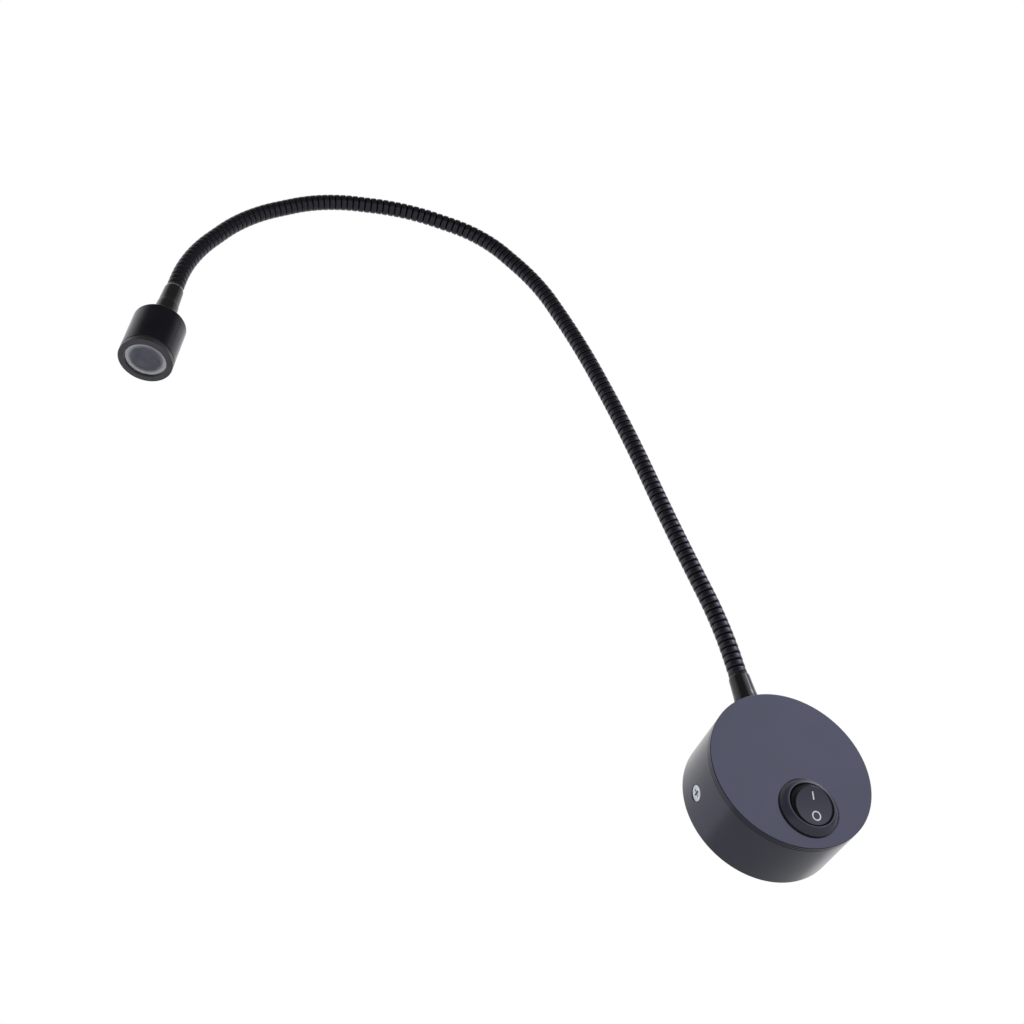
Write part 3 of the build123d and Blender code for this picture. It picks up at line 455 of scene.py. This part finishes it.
def white_led_board():
    """White solder mask on the LED's metal board: bright and a little glossy."""
    material, tree, shader = new_material("white_led_board", "#e4e5e4", 0.35)
    tint(tree, shader, grain(tree, 1.5), "#dddedd", "#e8e9e8")
    raise_surface(tree, shader, grain(tree, 0.4), 0.004)
    return material


def silicone_phosphor():
    """Yellow phosphor in silicone over the LED's chips: soft and faintly clouded."""
    material, tree, shader = new_material("silicone_phosphor", "#e3b93a", 0.3, IOR=1.41)
    tint(tree, shader, grain(tree, 0.6, 3.0), "#dcb030", "#e9c24a")
    raise_surface(tree, shader, grain(tree, 0.8), 0.02)
    return material


def metallised_reflector():
    """Vacuum-metallised plastic cone: nearly a mirror."""
    material, tree, shader = new_material("metallised_reflector", "#e2e3e6", 0.08, 1.0)
    vary(tree, shader, "Roughness", grain(tree, 2.0), 0.06, 0.12)
    raise_surface(tree, shader, grain(tree, 1.5), 0.004)
    return material


def moulded_black_rubber():
    """Black rubber of the lens seal: matt with a dusty bloom."""
    material, tree, shader = new_material("moulded_black_rubber", "#151516", 0.7)
    tint(tree, shader, grain(tree, 1.0, 3.0), "#121213", "#1f1f20")
    raise_surface(tree, shader, grain(tree, 0.3), 0.01)
    return material


def finish_nodes():
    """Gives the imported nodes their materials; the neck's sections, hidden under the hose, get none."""
    black_lead = pvc_insulation("black_pvc_insulation", "#18181a", "#202022")
    neck_leads = [f"neck_lead_{number:02d}" for number in range(1, 11)]
    finishes = [
        (blasted_anodised_aluminium(), ["base_housing"]),
        (turned_anodised_aluminium(), ["head_housing"]),
        (faced_anodised_ring(), ["retaining_ring"]),
        (gloss_black_lacquer(), ["base_ferrule", "head_ferrule"]),
        (moulded_black_polyamide(), ["switch_housing", "switch_plunger"]),
        (rocker_polyamide_painted_shade(), ["rocker_button"]),
        (moulded_acrylic_lens(), ["lens"]),
        (zinc_plated_steel(), ["wall_bracket", "bracket_screws"]),
        (
            turned_plain_steel(),
            ["base_threaded_end", "base_locknut", "base_lock_washer", "terminal_screws"]
            + ["head_threaded_end", "head_locknut", "head_lock_washer", "board_screws"],
        ),
        (drawn_spring_steel(), ["switch_spring"]),
        (stamped_brass(), ["switch_terminals", "contact_lever", "terminal_sleeves", "earth_tag"]),
        (moulded_white_abs(), ["driver_case", "driver_lid"]),
        (moulded_clear_white_polyamide(), ["terminal_block"]),
        (foam_pad(), ["driver_pad"]),
        (solder_mask_board(), ["driver_board"]),
        (wound_transformer_tape(), ["driver_transformer"]),
        (sleeved_capacitor(), ["driver_capacitors"]),
        (
            pvc_insulation("brown_pvc_insulation", "#5a3a26", "#664530"),
            ["live_lead", "switched_lead"],
        ),
        (pvc_insulation("blue_pvc_insulation", "#2c5f9e", "#386cab"), ["neutral_lead"]),
        (green_yellow_insulation(), ["earth_lead"]),
        (black_lead, neck_leads),
        (milled_bare_aluminium(), ["heat_sink"]),
        (white_led_board(), ["led_board"]),
        (silicone_phosphor(), ["led_emitter"]),
        (metallised_reflector(), ["reflector"]),
        (moulded_black_rubber(), ["lens_gasket"]),
    ]
    for material, nodes in finishes:
        for node in nodes:
            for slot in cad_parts[node].material_slots:
                slot.material = material


# ---------------------------------------------------------------- the neck's path
def heading_vector(heading):
    """Direction in the neck's plane; 0 is straight up, positive turns to -X."""
    return Vector((-sin(heading), 0, cos(heading)))


def turning_vector(heading):
    """Square to the heading, on the side that a positive turn bends to."""
    return Vector((-cos(heading), 0, -sin(heading)))


class Section:
    """One section of the hose: straight, an arc, straight."""

    def __init__(self, index, start, heading):
        last = len(RIB_COUNTS) - 1
        self.start = start
        self.heading = heading
        self.length = RIB_COUNTS[index] * RIB_PITCH
        self.lower = OUTER_STRAIGHT if index == 0 else JOINT_STRAIGHT
        self.upper = OUTER_STRAIGHT if index == last else JOINT_STRAIGHT
        self.arc = self.length - self.lower - self.upper
        self.bend = radians(SECTION_TURNS[index])

    def point(self, distance):
        """The point at a distance along the section, beyond its ends too."""
        along = heading_vector(self.heading)
        if distance <= self.lower:
            return self.start + along * distance
        radius = self.arc / self.bend
        swept = self.bend * min(distance - self.lower, self.arc) / self.arc
        side = turning_vector(self.heading)
        bent = self.start + along * (self.lower + radius * sin(swept)) + side * (radius * (1 - cos(swept)))
        beyond = max(0.0, distance - self.lower - self.arc)
        return bent + heading_vector(self.heading + swept) * beyond


def hose_sections():
    """The ten sections in a row from the base's ferrule."""
    sections = []
    start = Vector((0, NECK_Y, HOSE_START_Z))
    heading = 0.0
    for index in range(len(RIB_COUNTS)):
        section = Section(index, start, heading)
        sections.append(section)
        start = section.point(section.length)
        heading += section.bend
    return sections


# ---------------------------------------------------------------- ribbed hose
def rib_profile(node):
    """One rib from groove to groove: a quick rise to its edge, a shallow cone, a fall."""
    curve = node.mapping.curves[0]
    points = [(0.0, 0.0), (0.07, 0.03), (0.13, 0.93), (0.2, 1.0), (0.8, 0.78), (0.88, 0.66), (0.94, 0.03)]
    curve.points[0].location = points[0]
    curve.points[1].location = (1.0, 0.0)
    for place in points[1:]:
        curve.points.new(*place)
    for point in curve.points:
        point.handle_type = "AUTO_CLAMPED"
    node.mapping.update()


def ribbed_hose_tree():
    """A node tree that turns a line into a ribbed hose: rings along the line take their
    radius from where they lie within a rib."""
    tree = bpy.data.node_groups.new("ribbed_hose", "GeometryNodeTree")
    tree.is_modifier = True
    sockets = {"Line": tree.interface.new_socket("Line", in_out="INPUT", socket_type="NodeSocketGeometry")}
    for name, kind in (
        ("Rings", "NodeSocketInt"),
        ("Sides", "NodeSocketInt"),
        ("Rib Pitch", "NodeSocketFloat"),
        ("Groove Radius", "NodeSocketFloat"),
        ("Crest Radius", "NodeSocketFloat"),
        ("Finish", "NodeSocketMaterial"),
    ):
        sockets[name] = tree.interface.new_socket(name, in_out="INPUT", socket_type=kind)
    tree.interface.new_socket("Hose", in_out="OUTPUT", socket_type="NodeSocketGeometry")
    given = add(tree, "NodeGroupInput").outputs
    rings = add(
        tree,
        "GeometryNodeResampleCurve",
        {"mode": "COUNT"},
        links={"Curve": given["Line"], "Count": given["Rings"]},
    )
    place = add(tree, "GeometryNodeSplineParameter")
    ribs_along = add(
        tree,
        "ShaderNodeMath",
        {"operation": "DIVIDE"},
        links={0: place.outputs["Length"], 1: given["Rib Pitch"]},
    )
    within_rib = add(tree, "ShaderNodeMath", {"operation": "FRACT"}, links={0: ribs_along.outputs[0]})
    height = add(tree, "ShaderNodeFloatCurve", links={"Value": within_rib.outputs[0]})
    rib_profile(height)
    # the rib's height is also kept as "crest", which the hose's finish uses to paint shade into the
    # grooves
    marked = add(
        tree,
        "GeometryNodeStoreNamedAttribute",
        {"data_type": "FLOAT", "domain": "POINT"},
        {"Name": "crest"},
        {"Geometry": rings.outputs["Curve"], "Value": height.outputs["Value"]},
    )
    radius = add(
        tree,
        "ShaderNodeMapRange",
        links={
            "Value": height.outputs["Value"],
            "To Min": given["Groove Radius"],
            "To Max": given["Crest Radius"],
        },
    )
    circle = add(
        tree,
        "GeometryNodeCurvePrimitiveCircle",
        inputs={"Radius": 1.0},
        links={"Resolution": given["Sides"]},
    )
    tube = add(
        tree,
        "GeometryNodeCurveToMesh",
        links={
            "Curve": marked.outputs["Geometry"],
            "Profile Curve": circle.outputs["Curve"],
            "Scale": radius.outputs["Result"],
        },
    )
    smooth = add(tree, "GeometryNodeSetShadeSmooth", links={"Geometry": tube.outputs["Mesh"]})
    real = add(tree, "GeometryNodeRealizeInstances", links={"Geometry": smooth.outputs["Geometry"]})
    finished = add(
        tree,
        "GeometryNodeSetMaterial",
        links={"Geometry": real.outputs["Geometry"], "Material": given["Finish"]},
    )
    add(tree, "NodeGroupOutput", links={"Hose": finished.outputs["Geometry"]})
    return tree, {name: socket.identifier for name, socket in sockets.items()}


def line_object(name, points):
    """A curve object with one straight-run spline through points."""
    data = bpy.data.curves.new(name, "CURVE")
    data.dimensions = "3D"
    spline = data.splines.new("POLY")
    spline.points.add(len(points) - 1)
    for slot, point in zip(spline.points, points):
        slot.co = (*point, 1.0)
    line = bpy.data.objects.new(name, data)
    bpy.context.scene.collection.objects.link(line)
    return line


def plain_mesh(source, name):
    """The finished form of an object with modifiers, as a plain mesh object."""
    bpy.context.view_layer.update()
    evaluated = source.evaluated_get(bpy.context.evaluated_depsgraph_get())
    mesh = bpy.data.meshes.new_from_object(evaluated)
    mesh.name = name
    bpy.data.objects.remove(source)
    piece = bpy.data.objects.new(name, mesh)
    bpy.context.scene.collection.objects.link(piece)
    return piece


def hose_piece(name, points, ribs, tree, names, finish):
    """One length of ribbed hose along points, with a wall, as a plain mesh."""
    line = line_object(name + "_line", points)
    modifier = line.modifiers.new("ribs", "NODES")
    modifier.node_group = tree
    for socket, value in (
        ("Rings", ribs * RINGS_PER_RIB + 1),
        ("Sides", HOSE_SIDES),
        ("Rib Pitch", RIB_PITCH),
        ("Groove Radius", GROOVE_RADIUS),
        ("Crest Radius", CREST_RADIUS),
        ("Finish", finish),
    ):
        modifier[names[socket]] = value
    skin = plain_mesh(line, name + "_skin")
    shell = bmesh.new()
    shell.from_mesh(skin.data)
    bmesh.ops.remove_doubles(shell, verts=shell.verts, dist=MERGE_DISTANCE)
    bmesh.ops.recalc_face_normals(shell, faces=shell.faces)
    shell.to_mesh(skin.data)
    shell.free()
    wall = skin.modifiers.new("wall", "SOLIDIFY")
    wall.thickness = HOSE_WALL
    wall.offset = -1
    return plain_mesh(skin, name)


def dress_neck():
    """The hose as nine lengths, each from the middle of one section to the middle of the
    next, so that each bends across one joint."""
    finish = blackened_steel_hose()
    tree, names = ribbed_hose_tree()
    sections = hose_sections()
    last = len(sections) - 1
    for index in range(last):
        lower = sections[index]
        upper = sections[index + 1]
        cut_below = RIB_COUNTS[index] // 2 if index > 0 else -HIDDEN_RIBS
        cut_above = RIB_COUNTS[index + 1] // 2 if index + 1 < last else RIB_COUNTS[last] + HIDDEN_RIBS - 1
        ribs = RIB_COUNTS[index] - cut_below + cut_above
        points = []
        for step in range(POINTS_PER_RIB * ribs + 1):
            distance = cut_below * RIB_PITCH + GROOVE_PHASE + step * RIB_PITCH / POINTS_PER_RIB
            if distance <= lower.length:
                points.append(lower.point(distance))
            else:
                points.append(upper.point(distance - lower.length))
        name = f"neck_hose_{index + 1:02d}"
        piece = hose_piece(name, points, ribs, tree, names, finish)
        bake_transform(piece)
        covered = [f"neck_section_{index + 1:02d}"]
        if index + 1 == last:
            covered.append(f"neck_section_{last + 1:02d}")
        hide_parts(*covered)


# ---------------------------------------------------------------- switch marks
def rocker_point(place, lift):
    """A point on the rocker's dished top, or a little over it. The place is counted
    from the top's middle: along the pivot, then towards the raised end."""
    across = Vector((cos(SWITCH_TURN), 0, -sin(SWITCH_TURN)))
    out = Vector((0, -1, 0))
    up = out.cross(across)
    button_out = out * cos(ROCK_HALF_ANGLE) - up * sin(ROCK_HALF_ANGLE)
    button_up = up * cos(ROCK_HALF_ANGLE) + out * sin(ROCK_HALF_ANGLE)
    height = DISH_HEIGHT + DISH_RADIUS - sqrt(DISH_RADIUS**2 - place[1] ** 2) + lift
    return PIVOT + across * place[0] + button_up * place[1] + button_out * height


def printed_mark(name, loops, finish):
    """A thin printed shape between an outer and an inner loop of places."""
    shape = bmesh.new()
    rings = []
    for lift in MARK_LIFTS:
        for loop in loops:
            rings.append([shape.verts.new(rocker_point(place, lift)) for place in loop])
    count = len(loops[0])
    low_outer, low_inner, top_outer, top_inner = rings
    for one, two in (
        (low_outer, top_outer),
        (top_outer, top_inner),
        (top_inner, low_inner),
        (low_inner, low_outer),
    ):
        for step in range(count):
            following = (step + 1) % count
            shape.faces.new((one[step], one[following], two[following], two[step]))
    bmesh.ops.remove_doubles(shape, verts=shape.verts, dist=MERGE_DISTANCE)
    bmesh.ops.recalc_face_normals(shape, faces=shape.faces)
    mesh = bpy.data.meshes.new(name)
    shape.to_mesh(mesh)
    shape.free()
    mesh.materials.append(finish)
    mark = bpy.data.objects.new(name, mesh)
    bpy.context.scene.collection.objects.link(mark)
    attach(mark, "rocker")


def capsule(centre, half_length, radius, steps=48):
    """Points round an upright bar with round ends."""
    points = []
    for step in range(steps):
        angle = 2 * pi * step / steps
        lift = half_length - radius if sin(angle) >= 0 else radius - half_length
        points.append((centre[0] + radius * cos(angle), centre[1] + lift + radius * sin(angle)))
    return points


def oval(centre, half_width, half_height, steps=48):
    """Points round an oval."""
    angles = [2 * pi * step / steps for step in range(steps)]
    return [(centre[0] + half_width * cos(a), centre[1] + half_height * sin(a)) for a in angles]


def print_switch_marks():
    """The usual line for on and ring for off, in white."""
    finish = white_pad_print()
    line_middle = (0.4 * MM, 4.7 * MM)
    bar = capsule(line_middle, half_length=1.95 * MM, radius=0.3 * MM)
    core = capsule(line_middle, half_length=1.75 * MM, radius=0.1 * MM)
    printed_mark("switch_mark_on", (bar, core), finish)
    printed_mark("switch_mark_on_core", (core, [line_middle] * len(core)), finish)
    ring_middle = (0.35 * MM, -4.6 * MM)
    outer = oval(ring_middle, half_width=2.2 * MM, half_height=2.3 * MM)
    inner = oval(ring_middle, half_width=1.62 * MM, half_height=1.72 * MM)
    printed_mark("switch_mark_off", (outer, inner), finish)


# ---------------------------------------------------------------- studio
def build_world():
    """A white backdrop behind the lamp and a dimmer room in front of it. The camera
    sees white all round; polished parts see the backdrop and the room."""
    world = bpy.data.worlds.new("studio")
    bpy.context.scene.world = world
    world.use_nodes = True
    tree = world.node_tree
    tree.nodes.clear()
    rays = add(tree, "ShaderNodeLightPath").outputs
    direction = add(tree, "ShaderNodeTexCoord").outputs["Generated"]
    split = add(tree, "ShaderNodeSeparateXYZ", links={"Vector": direction})
    seen_in_gloss = add(
        tree,
        "ShaderNodeMapRange",
        {"interpolation_type": "SMOOTHSTEP"},
        {
            "From Min": BACKDROP_EDGE[0],
            "From Max": BACKDROP_EDGE[1],
            "To Min": ROOM_BRIGHTNESS,
            "To Max": BACKDROP_BRIGHTNESS,
        },
        {"Value": split.outputs["Y"]},
    )
    polished = add(
        tree,
        "ShaderNodeMath",
        {"operation": "MAXIMUM"},
        links={0: rays["Is Glossy Ray"], 1: rays["Is Transmission Ray"]},
    )
    for_gloss = add(
        tree,
        "ShaderNodeMix",
        inputs={2: MATT_BRIGHTNESS},
        links={0: polished.outputs[0], 3: seen_in_gloss.outputs["Result"]},
    )
    strength = add(
        tree,
        "ShaderNodeMix",
        inputs={3: 1.0},
        links={0: rays["Is Camera Ray"], 2: for_gloss.outputs[0]},
    )
    background = add(tree, "ShaderNodeBackground", links={"Strength": strength.outputs[0]})
    background.inputs["Color"].default_value = (1, 1, 1, 1)
    add(tree, "ShaderNodeOutputWorld", links={"Surface": background.outputs["Background"]})


def softbox(name, centre, aim, width, height, radiance, colour, spread):
    """A rectangular soft light of an even brightness, its beam that many degrees wide."""
    data = bpy.data.lights.new(name, "AREA")
    data.shape = "RECTANGLE"
    data.size = width
    data.size_y = height
    data.energy = pi * width * height * radiance
    data.color = colour
    data.spread = radians(spread)
    light = bpy.data.objects.new(name, data)
    light.location = centre
    light.rotation_euler = (Vector(aim) - Vector(centre)).to_track_quat("-Z", "Y").to_euler()
    light.visible_camera = False
    bpy.context.scene.collection.objects.link(light)


def lay_floor():
    """A large pale floor, well below the wall lamp."""
    size = 4.0
    height = -0.75
    corners = [(-size, -size, height), (size, -size, height), (size, size, height), (-size, size, height)]
    mesh = bpy.data.meshes.new("floor")
    mesh.from_pydata(corners, [], [(0, 1, 2, 3)])
    material, tree, shader = new_material("pale_floor", "#e3e3e3", 0.8)
    tint(tree, shader, grain(tree, 90.0), "#e1e1e1", "#e5e5e5")
    mesh.materials.append(material)
    floor = bpy.data.objects.new("floor", mesh)
    bpy.context.scene.collection.objects.link(floor)


def light_studio():
    """A soft key where the can's face mirrors it to the camera, and a slim light beside it
    for the sleeve. Both have narrow beams, so that the head stays as dark as the room."""
    build_world()
    lay_floor()
    softbox(
        "key_softbox",
        centre=(0.18, -0.298, 0.143),
        aim=(0.0, -0.034, 0.0),
        width=0.58,
        height=0.58,
        radiance=0.215,
        colour=(0.86, 0.88, 1.0),
        spread=66,
    )
    softbox(
        "side_softbox",
        centre=(0.39, -0.26, 0.42),
        aim=(0.0, -0.018, 0.05),
        width=0.3,
        height=0.4,
        radiance=0.16,
        colour=(0.88, 0.88, 1.0),
        spread=26,
    )


place_camera()
light_studio()
finish_nodes()
dress_neck()
print_switch_marks()

bpy.context.scene.view_settings.view_transform = "Standard"
